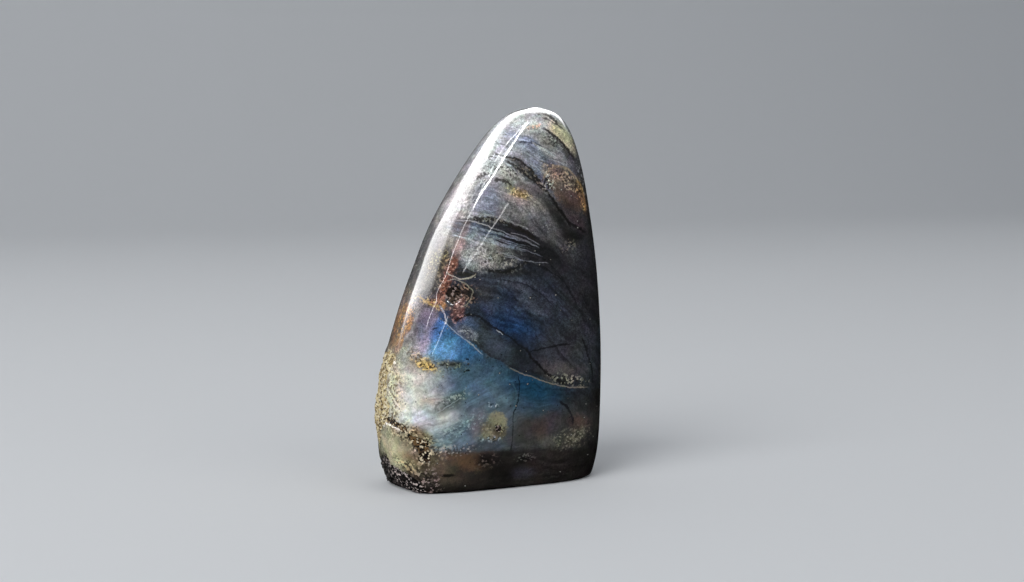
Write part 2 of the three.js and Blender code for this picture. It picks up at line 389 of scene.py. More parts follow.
# Ovals that hold something else: pale threads, a net of hair cracks, and the rock that is smoother,
# where mottling is weaker. The last one holds all of the stone.
THREADED = (-5, 75.4, 10.5, 3.4, 17, 0.6, 0.2, 0.6)
NETTED = (-8.8, 69.6, 4.8, 3.4, 20, 0.5, 0.2, 0.75)
SMOOTH_ROCK = (-8, 20, 34, 22, 0, 0.9, 0.1, 1.0)
EVERYWHERE = (0, 50, 200, 200, 0, 1.0, 0.0, 1.0)

# Small marks over all that, as in the colour zones.
FACE_MARKS = [
    ("mauve plate end", -12.9, 47.5, 3.4, 1.5, 38, 0.4, 0.3, 0.9, "#777b88"),
    ("pale lump end", -9.8, 69.2, 4.2, 3.0, 25, 0.7, 0.3, 0.9, "#a6a5a5"),
    ("tan lump", -5.4, 69.0, 3.4, 2.0, 10, 0.8, 0.3, 0.85, "#8a877d"),
    ("pink lamellae", -12.2, 76.6, 2.8, 1.1, -66, 0.8, 0.4, 0.75, "#8d7573"),
    ("pink below them", -14, 72, 2.6, 1.2, -62, 0.8, 0.4, 0.85, "#c3a6a4"),
    ("olive stain", -19.8, 67.6, 3.8, 2.0, -64, 0.6, 0.4, 0.9, "#54462f"),
    ("rust vein, top", -16, 67, 3, 1.3, -62, 0.5, 0.4, 0.95, "#70402f"),
    ("rust vein, middle", -18.2, 62.4, 3.6, 1.1, -70, 0.5, 0.4, 0.9, "#74483a"),
    ("rust vein, foot", -19.6, 58.4, 3.4, 1.2, -76, 0.5, 0.4, 0.9, "#83523a"),
    ("orange knee", -20.6, 56, 2.2, 1.1, 10, 0.6, 0.4, 0.9, "#a8743f"),
    ("rust right of the pit", -14.2, 57.2, 3.0, 0.9, -62, 0.6, 0.5, 0.85, "#6c4439"),
    ("rust below the pit", -15.4, 54.4, 2.6, 1.6, -80, 0.5, 0.4, 0.9, "#6a4542"),
    ("dark right of the pit", -12.2, 58.8, 2.8, 1.6, 60, 0.6, 0.3, 0.9, "#1f1915"),
    ("pink veil", -23.4, 50.2, 6, 1.4, -66, 0.9, 0.2, 0.7, "#8c7d8c"),
    ("pale pink", -25.4, 43.6, 2.6, 1.3, -60, 0.9, 0.3, 0.7, "#bda7b4"),
    ("brown knot", 21, 88.4, 8.4, 4.6, 42, 0.3, 0.3, 0.95, "#5f4d42"),
    ("tan of the knot", 18.6, 91.6, 5, 2.2, 24, 0.7, 0.4, 0.85, "#84766a"),
    ("mauve of the knot", 21.4, 86.8, 3.4, 1.6, 46, 0.7, 0.3, 0.6, "#544342"),
    ("gold of the knot", 26.2, 86.0, 4.6, 1.3, 76, 0.6, 0.4, 0.8, "#80664a"),
    ("dark of the knot", 20.8, 83.6, 2.8, 1.4, 30, 0.8, 0.3, 0.85, "#30271f"),
    ("under the knot", 23, 79.6, 5.0, 2.0, 40, 0.8, 0.3, 0.8, "#423838"),
    ("dark below the knot", 21.5, 74.4, 4.4, 2, 0, 0.6, 0.4, 0.85, "#151413"),
    ("gold flecks high", 4.9, 87.4, 2.9, 1.2, 24, 0.6, 0.7, 0.9, "#ab9a68"),
    ("pink fleck", 11.8, 107, 2.4, 0.7, -10, 0.7, 0.6, 0.75, "#c79f8d"),
    ("dark wedge of the fracture", 7.2, 94.4, 6, 1.3, 38, 0.7, 0.3, 0.85, "#39322d"),
    ("brown smudge", -18.3, 38.8, 3.4, 1.0, 2, 0.7, 0.4, 0.9, "#514d3c"),
    ("gold flecks low", -25, 38.8, 2.6, 1.5, 25, 0.6, 0.7, 0.9, "#a08049"),
    ("green smudge", -18.2, 27.2, 5, 1.9, -22, 0.8, 0.4, 0.8, "#56625e"),
    ("olive patch", -5.2, 18.6, 4.0, 2.9, -8, 0.25, 0.3, 0.95, "#8a8468"),
    ("olive patch, top", -4.2, 21.6, 3.2, 2.2, 24, 0.25, 0.3, 0.95, "#958f72"),
    ("beside the olive patch", -9.6, 20.6, 3.0, 3.6, 0, 0.9, 0.3, 0.7, "#71716b"),
    ("dark of the olive patch", -3.4, 17.8, 2.0, 1.6, 0, 0.8, 0.3, 0.85, "#4c4438"),
    ("tan beside trench", -26.6, 18.2, 3.6, 1.8, 40, 0.7, 0.4, 0.9, "#96855d"),
    ("tan below trench", -28.2, 10.6, 3.6, 1.6, 30, 0.7, 0.4, 0.8, "#937c52"),
    ("orange streak", -15.5, 12.0, 7, 1.0, 2, 0.8, 0.3, 0.8, "#6b4f38"),
    ("olive foot", -20.5, 7.2, 10, 4.8, 6, 0.7, 0.15, 0.92, "#5b5143"),
    ("brown foot", -11, 7.2, 6.5, 4.6, 0, 0.8, 0.2, 0.85, "#35302b"),
    ("dark middle of the foot", -1.5, 5.2, 7, 3.6, 0, 0.9, 0.2, 0.75, "#161312"),
    # Painted shade along the lowest millimetres of the face, where the stone meets the floor.
    ("painted shade along the sole", -22, 0.8, 13, 2.2, 0, 0.8, 0.2, 0.85, "#1b1613"),
    ("shade over the foot", -10.5, 14, 5, 1.5, 0, 0.8, 0.3, 0.8, "#484d54"),
    # Partly the rock's own dark colour and partly painted shade, at the lower right corner away
    # from the lamps.
    ("dark rock and painted shade of the right foot", 27.5, 7, 9, 6, 80, 0.9, 0.2, 0.75, "#171513"),
    ("brown band of the corner", -26.8, 13.4, 8.5, 2.6, 42, 0.8, 0.3, 0.85, "#6b5b45"),
    ("dark dash", -19, 6, 2.2, 0.4, 3, 0.5, 0.3, 0.95, "#120e0a"),
    ("red foot", 8.6, 5.6, 4.5, 2, 60, 0.8, 0.3, 0.35, "#352823"),
    ("grey blotch 2", 13.2, 13.6, 4.5, 1.6, 16, 0.8, 0.4, 0.8, "#595750"),
    ("grey blotch 3", 21.8, 14.4, 3.6, 1.9, -24, 0.8, 0.5, 0.85, "#6a6551"),
    ("brown blotch", 23.6, 18.4, 3.4, 1.9, 10, 0.8, 0.4, 0.7, "#5a483c"),
    ("brown cloud", -13.4, 9.8, 5.0, 2.0, 20, 0.8, 0.4, 0.75, "#6a4f36"),
    ("lilac beside the steel", -10.2, 21.6, 2.0, 5.0, 10, 0.8, 0.3, 0.6, "#77747f"),
    ("mauve of the foot", 4.9, 4.4, 3.4, 1.6, 4, 0.8, 0.3, 0.7, "#3b3742"),
    ("mauve cloud", 12.5, 19.5, 4.0, 2.6, 10, 0.9, 0.3, 0.6, "#4b444c"),
    ("rust cloud", 10.4, 18.2, 3.0, 2.4, 60, 0.9, 0.4, 0.6, "#55433a"),
    ("dark pitting 1", -7.4, 9.6, 3.0, 1.8, 0, 0.7, 0.5, 0.85, "#1b1613"),
    ("dark pitting 2", 4.9, 8.8, 1.5, 1.2, 0, 0.6, 0.5, 0.9, "#0f0e0d"),
    ("dark lens", -13.2, 64.1, 2.8, 0.8, 2, 0.5, 0.3, 0.95, "#1b1b14"),
    ("dark field at the lens", -9, 61.6, 3.6, 1.4, 10, 0.8, 0.3, 0.6, "#262733"),
]

# Fractures, each an arc through three points: name, points, width, colour, strength.
FACE_FRACTURES = [
    ("cap edge", (13.2, 111), (17.3, 110.5), (20.4, 107.6), 0.8, "#2c2624", 0.9),
    ("cap edge, inner", (15.4, 109.6), (18.8, 108.4), (21.8, 106.2), 0.35, "#4c443e", 0.8),
    ("under yellow shoulder", (15, 106.6), (20.3, 102.5), (24, 97.3), 0.65, "#2a2420", 0.95),
    ("cap seam", (6.6, 102.2), (9.8, 102), (13.4, 100.9), 0.4, "#2e3648", 0.85),
    ("main fracture, top", (2.1, 98.1), (6.5, 96.5), (10.1, 93.2), 0.55, "#17130f", 0.95),
    ("main fracture, lower", (2, 96.8), (7.4, 93), (12.7, 88.6), 0.6, "#1a1613", 0.9),
    ("main fracture, foot", (9.4, 93.4), (15.2, 86.2), (20.6, 78.1), 0.75, "#12100f", 0.97),
    ("main fracture, end", (20.6, 78.1), (23.5, 77.0), (27, 75.6), 0.6, "#121111", 0.9),
    ("second fracture", (-0.1, 95.2), (2.9, 94.5), (4.4, 93.1), 0.4, "#1e1a17", 0.95),
    ("third fracture", (-2.2, 91.4), (0.3, 90.9), (2.7, 89.6), 0.7, "#28231e", 0.9),
    ("left fracture", (-7.1, 91.4), (-5.6, 92.8), (-4.2, 93.4), 0.4, "#2a2827", 0.85),
    ("lamellae roof", (-9, 80.1), (-1.4, 79.3), (8.8, 73.7), 1.0, "#1a1613", 0.92),
    ("under the lump", (-6, 65.4), (0.3, 65.0), (6.4, 67.2), 0.7, "#131211", 0.9),
    ("lens roof", (-17, 63.8), (-13.4, 65.6), (-10, 64.4), 0.35, "#241e17", 0.8),
    ("sickle roof, left", (-16.1, 51.3), (-12.5, 52.5), (-8, 50.6), 0.5, "#131217", 0.9),
    ("sickle roof", (-8, 50.6), (-1.2, 46.3), (5.3, 41.3), 0.5, "#14161c", 0.9),
    ("sickle roof, foot", (5.3, 41.3), (11, 35.3), (18, 30.8), 0.6, "#131213", 0.9),
    ("plum line", (6.5, 40.8), (12, 42), (19.7, 42.6), 0.4, "#121217", 0.85),
    ("plum line, high", (9, 66), (17, 62), (22, 55), 0.35, "#111217", 0.8),
    ("plum line, higher", (8, 69.6), (14, 66), (19, 60), 0.3, "#131318", 0.7),
    ("indigo line", (-2, 62.5), (8, 59.5), (15, 53.5), 0.3, "#151a24", 0.7),
    ("upright crack, top", (2.5, 34), (2.7, 28.5), (1.2, 23.5), 0.32, "#12222c", 0.9),
    ("upright crack, foot", (1.2, 23.5), (1.0, 19.7), (0.4, 12), 0.26, "#1f2123", 0.8),
    ("lower right seam", (16.4, 25.4), (19.2, 22.6), (21, 18.5), 0.6, "#14151c", 0.85),
    ("right seam", (24.2, 43.7), (27.2, 36.5), (28, 30.1), 0.5, "#131215", 0.8),
    ("dash under the azure", (-14.4, 36.2), (-13.6, 36.5), (-12.8, 36.6), 0.4, "#10171c", 0.95),
    ("dash in the azure", (-13.3, 40.0), (-12.9, 40.1), (-12.5, 40.0), 0.4, "#0c151e", 0.95),
    ("gash beside the azure", (-22.8, 48.7), (-22.2, 48.9), (-21.5, 49.1), 0.35, "#141822", 0.95),
    ("crack below the pit", (-16.4, 51.8), (-14.7, 52.1), (-12.2, 53), 0.45, "#121013", 0.9),
    ("scratch through steel", (-21.4, 17.5), (-18, 18.9), (-14.7, 20.6), 0.25, "#4a5d68", 0.6),
]

# Clusters of broken grains: an oval as above, then the colours of its dark and its pale grains.
FACE_FLECKS = [
    ("orange of the flank", -28.4, 50, 8, 0.9, -73, 0.6, 0.3, 0.8, "#5c4024", "#dca45c"),
    ("knot border", 20.4, 91.4, 7.4, 2.4, 34, 0.5, 0.3, 0.85, "#2a211c", "#bda88a"),
    ("left of the knot", 14.2, 90.8, 2.6, 1.9, 60, 0.6, 0.3, 0.95, "#1c1a1c", "#dadad2"),
    ("gold of the knot", 26, 86, 4.6, 1.6, 74, 0.6, 0.3, 0.9, "#3f2d1e", "#d3a873"),
    ("gold flecks high", 5, 87.4, 3.2, 1.4, 24, 0.6, 0.4, 0.95, "#6a5a34", "#f0e2b4"),
    ("pink fleck", 11.8, 107, 2.6, 0.9, -10, 0.6, 0.4, 0.8, "#9aa2a6", "#e8c0aa"),
    ("left shoulder", -4.2, 92.8, 4.5, 1.6, -52, 0.8, 0.3, 0.8, "#3a3836", "#d8dada"),
    ("high left shoulder", -1.6, 98.3, 2.4, 0.8, -20, 0.7, 0.3, 0.85, "#2c2a29", "#dcdedc"),
    ("under the yellow", 16.8, 102.6, 4.4, 1.8, 40, 0.8, 0.3, 0.85, "#2b2a26", "#a5a59c"),
    ("wedge", 2.2, 93.4, 4.4, 2.0, 14, 0.8, 0.3, 0.8, "#3a3733", "#c3c7bd"),
    ("fracture", 8.5, 93.4, 7, 1.6, 40, 0.7, 0.3, 0.85, "#171311", "#6e6357"),
    ("lamellae roof", -5, 80.0, 6, 1.0, 6, 0.7, 0.3, 0.8, "#1c1815", "#8a857e"),
    ("lump", -5, 68.6, 8, 2.8, 8, 0.6, 0.3, 0.7, "#242321", "#a8a49a"),
    ("olive stain", -19.6, 67.4, 4.8, 2.3, -64, 0.5, 0.3, 0.9, "#1d150d", "#94865f"),
    ("rust vein", -18, 62.8, 8, 1.6, -70, 0.5, 0.3, 0.7, "#321a12", "#bd907c"),
    ("left of the vein", -21.8, 61.0, 4.4, 1.9, -72, 0.7, 0.3, 0.8, "#2b2521", "#7d766c"),
    ("round the pit", -14.6, 58.4, 4.4, 3.6, 0, 0.5, 0.3, 0.85, "#120d0a", "#927868"),
    ("gold seam", -22.4, 56.2, 3.4, 1.1, 28, 0.6, 0.3, 0.9, "#2c2016", "#c2a873"),
    ("rust below", -15.6, 54, 3.2, 1.9, -80, 0.6, 0.3, 0.75, "#4a2622", "#bd9189"),
    ("mauve plate end", -12.6, 47.2, 3.2, 1.3, 38, 0.6, 0.3, 0.85, "#3a4050", "#aeb0b6"),
    ("right end of the sickle", 19.4, 31.8, 5.5, 1.5, 12, 0.7, 0.3, 0.85, "#262320", "#b0a893"),
    ("gold low", -25, 38.8, 3.2, 1.8, 25, 0.6, 0.3, 0.95, "#4c3616", "#ecc97e"),
    ("above the gold", -27.6, 41.4, 2.6, 1.6, 30, 0.8, 0.3, 0.8, "#6b5c48", "#d4c8ac"),
    ("brown smudge", -18, 38.4, 4.6, 1.6, 4, 0.7, 0.3, 0.8, "#202422", "#8b917e"),
    ("green smudge", -18.6, 28, 5, 1.5, -22, 0.8, 0.3, 0.7, "#39433e", "#c8d0ca"),
    ("steel sparkle", -15.5, 20, 6.5, 2.6, -24, 0.8, 0.3, 0.5, "#4a5c66", "#c2d8da"),
    ("steel foot", -17, 13.6, 5.5, 1.3, 0, 0.7, 0.3, 0.8, "#45403c", "#bdb7ae"),
    ("eye of the olive patch", -3.9, 19.0, 2.0, 1.3, 20, 0.5, 0.3, 0.97, "#0f0c09", "#cfc29a"),
    ("olive patch", -6, 19, 3.6, 2.6, -10, 0.7, 0.3, 0.6, "#585039", "#b0a683"),
    ("under the olive patch", -6, 16.0, 3.4, 0.8, 0, 0.6, 0.3, 0.85, "#1c252c", "#9fb2bd"),
    ("over the olive patch", -5.4, 26, 1.8, 0.7, 20, 0.6, 0.3, 0.9, "#2a3440", "#d0d8e0"),
    ("beside the trench", -28.6, 17.6, 8, 2.6, 40, 0.7, 0.3, 0.9, "#3a2b1b", "#d9caa2"),
    ("foot of the trench", -25.8, 12.8, 3.4, 2.6, 80, 0.6, 0.3, 0.95, "#241912", "#d6c2a4"),
    ("over the broken corner", -29.6, 8.4, 5, 1.5, 38, 0.7, 0.3, 0.85, "#3a2b1f", "#d6c196"),
    ("beside the broken corner", -24.4, 4.4, 4.5, 2.8, 62, 0.7, 0.3, 0.85, "#1a1310", "#b5a096"),
    ("inside the crust", -32.8, 29, 13, 1.7, -86, 0.7, 0.3, 0.85, "#6e5a38", "#efe4c2"),
    ("dark pitting 1", -7.2, 9.4, 3.2, 1.8, 0, 0.7, 0.3, 0.8, "#0e0b0a", "#6f625a"),
    ("dark pitting 2", 5.2, 9.4, 2.4, 1.4, 0, 0.7, 0.3, 0.7, "#0c0b0a", "#77736b"),
    ("lower right", 20.6, 14.2, 6, 2.4, -10, 0.8, 0.3, 0.7, "#24231f", "#9a957f"),
    ("below the saddle", 20.2, 71.4, 2.6, 1.4, -30, 0.7, 0.3, 0.8, "#121110", "#7e766a"),
    ("saddle sparkle", 13.6, 77.6, 1.6, 1.2, 30, 0.8, 0.3, 0.7, "#39383a", "#9b9b95"),
]

# Healed cracks and clean sheet edges: hair lines that shine pale, as the fractures are given.
FACE_HAIR_LINES = [
    ("sickle edge, left", (-18.9, 50.5), (-13.6, 45.4), (-9.2, 41.7), 0.24, "#a3adb8", 0.85),
    ("sickle edge, right", (0.2, 36.6), (10, 32.4), (24.1, 28.9), 0.28, "#8d8579", 0.85),
    ("gold seam", (-24.7, 57.6), (-22.6, 55.9), (-19.8, 55.3), 0.34, "#ac8f5a", 0.85),
    ("pale seam", (-20, 55.4), (-18.8, 52.9), (-18.9, 50.4), 0.28, "#b9b8c0", 0.9),
    ("lens rim", (-17.4, 64.6), (-13.7, 62.8), (-10.2, 64), 0.28, "#b3ac9a", 0.9),
    ("second loop", (-17.6, 62.8), (-13.6, 61.9), (-11.2, 59.6), 0.24, "#94907f", 0.75),
    ("second loop, foot", (-11.1, 59.3), (-11.7, 57.0), (-14.5, 55), 0.24, "#958e7c", 0.7),
    ("roof light", (-8.4, 82), (-1.4, 80.3), (6.8, 76.9), 0.34, "#8f8e8e", 0.75),
    ("lamella 1", (-14, 79.8), (-9, 79.3), (-4.6, 77.6), 0.24, "#a5a2a6", 0.8),
    ("lamella 2", (-3.9, 77.2), (2.4, 75), (9.4, 71.5), 0.28, "#7c7d85", 0.75),
    ("lamella 2, twin", (2, 76), (6, 74.4), (10, 72.0), 0.2, "#7f8088", 0.7),
    ("lamella 3", (-15.2, 75.2), (-11, 74.2), (-7.4, 72.8), 0.36, "#c9ccd1", 0.9),
    ("lamella 4", (-4.6, 74.6), (2.6, 72), (9.9, 68.9), 0.22, "#6a6c76", 0.7),
    ("lamella 5", (-3.6, 70.8), (0.6, 69.5), (4.6, 67.8), 0.22, "#85868c", 0.75),
    ("lamella 6", (-0.8, 69.3), (5, 67.7), (12.2, 66.6), 0.2, "#7b7c84", 0.7),
    ("pale ledge", (10.6, 101.9), (14, 100.2), (17.6, 98.2), 0.34, "#b4b9b8", 0.75),
    ("slate ridge", (4.9, 99.7), (8.4, 98.7), (12.4, 96.6), 0.24, "#a7abb6", 0.6),
    ("slate ridge, lower", (7.6, 97.2), (10.2, 95.7), (12.4, 93.6), 0.24, "#8d92a2", 0.6),
    ("knot rim", (13.4, 92.4), (19.5, 94.9), (24.9, 90.7), 0.5, "#9d8a72", 0.7),
    ("knot rim, right", (24.9, 90.7), (27.1, 86.5), (27.2, 82), 0.5, "#a98050", 0.75),
    ("saddle line", (10.3, 80.3), (13.4, 78), (16.8, 74.4), 0.3, "#5f5f5f", 0.6),
    ("pale twin of the crack", (0.9, 32), (1.7, 27.8), (0.6, 24), 0.3, "#4d7684", 0.55),
    ("window scratch", (-3.9, 47.9), (-3, 47.1), (-2.2, 46.4), 0.2, "#b6baba", 0.8),
    ("steel scratch", (-22, 25.2), (-19, 26.6), (-16, 28.2), 0.2, "#b5c2c4", 0.5),
    ("broken step in the cream", (-31.2, 20.9), (-29.9, 22.2), (-28.9, 23.4), 0.3, "#f3eddc", 0.8),
]

# The flanks, in the same kinds of table.
FLANK_ZONES = [
    ("right flank", 34, 56, 52, 10, 90, 0.6, 0.15, 0.9, "#3f4149"),
    ("slate of the right flank", 29, 84, 17, 8, 72, 0.6, 0.2, 0.85, "#5a5c65"),
    ("mauve of the right flank", 34, 56, 13, 8, 90, 0.7, 0.2, 0.8, "#4a4551"),
    ("olive of the right flank", 35, 24, 12, 7, 90, 0.6, 0.3, 0.85, "#5d5848"),
    ("foot of the right flank", 33, 6, 12, 8, 0, 0.6, 0.2, 0.85, "#3b342c"),
    ("left flank", -26, 66, 30, 9, -68, 0.6, 0.2, 0.8, "#3f3f44"),
    ("tan of the left flank", -27, 50, 9, 5, -70, 0.7, 0.3, 0.7, "#8a7355"),
]

FLANK_FLASH = [
    ("blue of the right flank", 35.5, 41, 9, 3.6, 84, 0.7, 0.2, 0.9, "#2b6388"),
    ("indigo of the right flank", 34.5, 68, 8, 3.0, 84, 0.8, 0.2, 0.8, "#2a3d5e"),
]

FLANK_SHEETS = [
    ("right flank", 33, 56, 12, 58, 24, 0.6, 1.2, 0.6, 1.5),
]

FLANK_FLECKS = [
    ("tan of the right flank", 35, 30, 6, 3.4, 60, 0.6, 0.3, 0.75, "#2b2620", "#a99b7c"),
    ("slate of the right flank", 27, 92, 7, 3, 60, 0.6, 0.3, 0.7, "#2b2b2e", "#a4a5a8"),
]

# The back, in the same kinds of table.
BACK_ZONES = [
    ("grey body", 6, 60, 36, 24, 74, 0.6, 0.15, 0.9, "#45474e"),
    ("cream of the flank", -30, 28, 12, 9, -70, 0.7, 0.2, 0.9, "#c9c2ae"),
    ("green of the foot", -27, 13, 9, 7, 40, 0.6, 0.2, 0.85, "#a5a182"),
    ("mauve shoulder", -13, 68, 20, 8, -62, 0.6, 0.15, 0.9, "#7b7482"),
    ("slate top", 6, 96, 18, 12, 20, 0.6, 0.15, 0.9, "#71757f"),
    ("pale cap", 9, 109, 11, 4.5, 0, 0.6, 0.1, 0.9, "#bfc7c8"),
    ("grey green patch", -6, 51, 8, 5.5, -20, 0.6, 0.3, 0.8, "#72776e"),
    ("olive patch", 19, 27, 9, 6.5, 30, 0.5, 0.3, 0.85, "#7d7560"),
    ("brown foot", 4, 6, 32, 7, 3, 0.6, 0.15, 0.9, "#4a4238"),
    ("dark right shoulder", 29, 74, 26, 6, 80, 0.6, 0.15, 0.85, "#2a2826"),
    ("pale lens", -3, 79, 8, 3, -30, 0.6, 0.3, 0.8, "#8b8d8f"),
    ("tan shoulder", 17, 84, 5, 3, 50, 0.6, 0.3, 0.8, "#7c6850"),
    ("grey over the foot", -2, 19, 16, 4, 8, 0.7, 0.3, 0.8, "#72776f"),
]

BACK_FLASH = [
    ("peacock", 3, 37, 15, 8, 30, 0.6, 0.1, 0.95, "#25688c"),
    ("azure", -7, 33, 8, 4.5, 26, 0.5, 0.1, 0.92, "#5594cc"),
    ("indigo", 11, 70, 13, 7, 46, 0.8, 0.15, 0.8, "#33507e"),
    ("green edge", -17, 24, 7, 3, 34, 0.8, 0.2, 0.6, "#57756a"),
]

BACK_PLATES = [
    ("above the edge", ((-19, 53), (2, 46.5), (27, 50)), 1, 0.35,
     (4, 56, 25, 10, 0, 0.6, 0.1, 0.9), "#3b3e46"),
    ("above the upper edge", ((-6, 92), (9, 88), (22, 72)), -1, 0.35,
     (12, 93, 15, 8, 40, 0.6, 0.1, 0.9), "#6b6f79"),
]

BACK_SHEETS = [
    ("upper", 6, 92, 20, 14, 30, 0.6, 0.9, 0.62, 1.45),
    ("middle", 3, 60, 28, 14, 24, 0.6, 1.1, 0.6, 1.45),
    ("flash", 1, 36, 22, 9, 18, 0.6, 1.0, 0.74, 1.3),
    ("foot", 0, 7, 32, 9, 4, 0.6, 1.4, 0.6, 1.5),
]

BACK_LINES = [
    ("plate edge", (-19, 53), (2, 46.5), (27, 50), 0.6, "#14120f", 0.9),
    ("plate edge, upper", (-6, 92), (9, 88), (22, 72), 0.55, "#15120f", 0.9),
    ("upright crack", (13, 44), (15.5, 31), (11, 14), 0.4, "#12181d", 0.85),
    ("healed seam", (-26, 42), (-12, 37), (-2, 22), 0.35, "#b0a68e", 0.8),
    ("hair line", (2, 84), (13, 80), (24, 70), 0.25, "#a3a1a0", 0.8),
    ("hair line, lower", (-12, 62), (4, 58), (18, 60), 0.22, "#8b8d92", 0.75),
]

BACK_FLECKS = [
    ("rust round a pit", 19, 63, 6, 4.5, 30, 0.6, 0.3, 0.8, "#2a1a12", "#b58c66"),
    ("tan round a pit", -9, 27, 6.5, 5.5, 0, 0.6, 0.3, 0.8, "#2c2418", "#c4b48c"),
    ("beside the upper edge", 8, 89, 12, 2.4, 34, 0.7, 0.3, 0.75, "#2a2724", "#c0bcb2"),
    ("beside the cream", -20, 33, 9, 2.4, 60, 0.7, 0.3, 0.8, "#4c4636", "#ddd3b8"),
    ("foot", 6, 8, 24, 4, 4, 0.8, 0.3, 0.6, "#15110e", "#857a6a"),
    ("bristles of the left flank", -22.7, 66.7, 20, 6, -68, 0.9, 0.3, 1.0, "#0f0d0b", "#dee0dc"),
]

# The raw parts: what the mesh calls them, then the colours of their ground, its clouds, its dark
# grains and its pale grains, and the oval of the face that the pale grains keep to.
BROKEN_CORNER = (-27.6, 4.8, 8, 3.6, 38, 0.6, 0.3, 1.0)
RAW_ROCK = [
    ("crust", "#ad9768", "#d8c89a", "#5a4829", "#f3ead0", EVERYWHERE),
    ("broken", "#0d0b0b", "#292120", "#080606", "#d8c8c2", BROKEN_CORNER),
    ("trench", "#37281a", "#705636", "#0d0906", "#e6d8ba", EVERYWHERE),
    ("pits", "#2c221b", "#4b3b30", "#0e0a08", "#a5928a", EVERYWHERE),
]


# ---------------------------------------------------------------- the stone's material

# The rock under all those zones: its ground, and the clouds in it.
GROUND, CLOUDS = "#202024", "#3a393b"
CLOUD_LIMITS, RAW_CLOUD_LIMITS = (0.35, 0.65), (0.4, 0.6)  # of polished and of raw rock

# Streaks along the sheets: tilt, length, distance apart, detail, the noise from which they show,
# the noise at which they are whole, strength, colour.
BRISTLES = (-14, 4.5, 0.5, 1.0, 0.56, 0.68, 0.35, "#84827b")
THREADS = (16, 30.0, 0.8, 1.0, 0.55, 0.63, 1.0, "#8f97a4")
SHEET_LENGTH, SHEET_DETAIL = 14.0, 2.0
SHEET_FIELD = (0.1, 1.0)  # how ragged and how strong every field of them is

# Noises of the rock: size in millimetres, detail, roughness.
COARSE, FINE, GRIT = (3.4, 4.0, 0.62), (0.85, 2.0, 0.6), (0.36, 1.0, 0.5)
NOISE_RANGE = {"From Min": 0.3, "From Max": 0.7}  # a noise seldom leaves it
FRAYING = {"From Min": 0.25, "From Max": 0.75, "To Min": -1.0, "To Max": 0.0}  # it only takes away
SMOOTHLY = {"interpolation_type": "SMOOTHSTEP", "clamp": False}  # that curve ends level by itself

# How far borders are pushed about, as pairs of length and amount in millimetres: widely, for
# borders that flow, and sharply but little, for borders that break.
FLOWING, BREAKING = [(9, 5), (2.6, 1.8)], [(7, 1.8), (1.3, 0.6)]

# Broken grains. Real ones are down to a fifth of a millimetre; these are as coarse as they need to
# be to show. Then the soft limits of the share of them that is dark, and of that which is pale.
GRAIN = 0.55
DARK_GRAINS, PALE_GRAINS = (0.34, 0.26), (0.74, 0.82)

# The net of hair cracks: the size of its meshes, its colour, and the soft limits of its lines.
NET_MESH, NET_COLOUR, NET_LINES = 1.5, "#c3c2bf", (0.09, 0.03)

PLATE_FRAY = 0.4  # millimetres by which a plate's clean line frays
RAW_LIMITS, RAW_FRAY = (0.25, 0.45), 0.5  # how raw a point has to be to look raw

# Shares of an arc's width: where it is whole, where it has faded out, and how far it frays. Then
# the oval that holds it: its length as a share of the arc's, the room in millimetres that it leaves
# on both sides, and its softness and raggedness.
ARC_CORE, ARC_RIM, ARC_FRAY = 0.05, 0.7, 0.6
ARC_REACH, ARC_ROOM, ARC_ENDS = 1.08, 2.5, (0.12, 0.1)

# Faint clouds of other hues: their size, how strong they are, and the level they start from.
HUE_SIZE, HUE_STRENGTH, HUE_LEVEL = 4.5, 0.42, 0.79

# Mottling: its noise, how dark and how light it makes the rock, and whether it spares smooth rock.
MOTTLING = [("coarse", 0.8, 1.22, False), ("fine", 0.76, 1.3, True), ("grit", 0.72, 1.36, True)]
SMOOTH_LIMITS = (1.3, 0.0)  # even the smoothest rock keeps a little of it

# Specks: what they are, which of the rock's places they follow, how far apart they may be, their
# size, how many of those there are, strength, colour.
SPECKS = [
    ("dark", "flat", 1.4, 0.24, 0.2, 1.0, "#100e0c"),
    ("dark ring of a pale one", "crack", 1.7, 0.4, 0.16, 0.6, "#1c1a18"),
    # The pale specks are painted glints of crystal faces.
    ("pale", "crack", 1.7, 0.24, 0.16, 1.0, "#aeaca4"),
]

# Feldspar's gloss. The body under the polish scatters softly, a clear coat gives the polish, and
# raw rock has no coat. The flash is a little metallic, as it comes back from inside the stone.
FELDSPAR_IOR = 1.57
COAT_ROUGHNESS = 0.03
BODY_SPECULAR = 0.2
FLASH_METALLIC = 0.3
POLISHED_AND_RAW = {"Roughness": (0.42, 0.8), "Coat Weight": (1.0, 0.0)}
RELIEF_DEPTH, RELIEF_STRENGTH = 0.25 * MM, 0.35  # of the mottling, as bump
GRIT_RELIEF = 0.5  # how high the grit stands in it


def wander(tree, where, pushes):
    """where, pushed about by up to about half of each amount over its length."""
    for length, amount in pushes:
        push = add(tree, "TexNoise", {"Vector": where, "Scale": 1 / length, "Detail": 2.0})
        halves = {0: push.outputs["Color"], 1: (0.5,) * 3}
        centred = add(tree, "VectorMath", halves, operation="SUBTRACT").outputs[0]
        pushed = {0: centred, 1: (amount,) * 3, 2: where}
        where = add(tree, "VectorMath", pushed, operation="MULTIPLY_ADD").outputs[0]
    return where


def soft_edge(tree, value, low, high, fray=0.0, ragged=0.0, strength=1.0):
    """0 where value is at low and the strength where it is at high; noise may fray the border."""
    frayed = add(tree, "Math", {0: fray, 1: ragged, 2: value}, operation="MULTIPLY_ADD").outputs[0]
    ends = {"Value": frayed, "From Min": low, "From Max": high, "To Max": strength}
    return add(tree, "MapRange", ends, **SMOOTHLY).outputs[0]


def laid_over(tree, under, hex_code, mask, within=1.0):
    """under, with a colour laid over it where both masks say."""
    share = add(tree, "Math", {0: mask, 1: within}, operation="MULTIPLY").outputs[0]
    mixed = add(tree, "MixRGB", {"Fac": share, "Color1": under, "Color2": linear(hex_code)})
    return mixed.outputs["Color"]


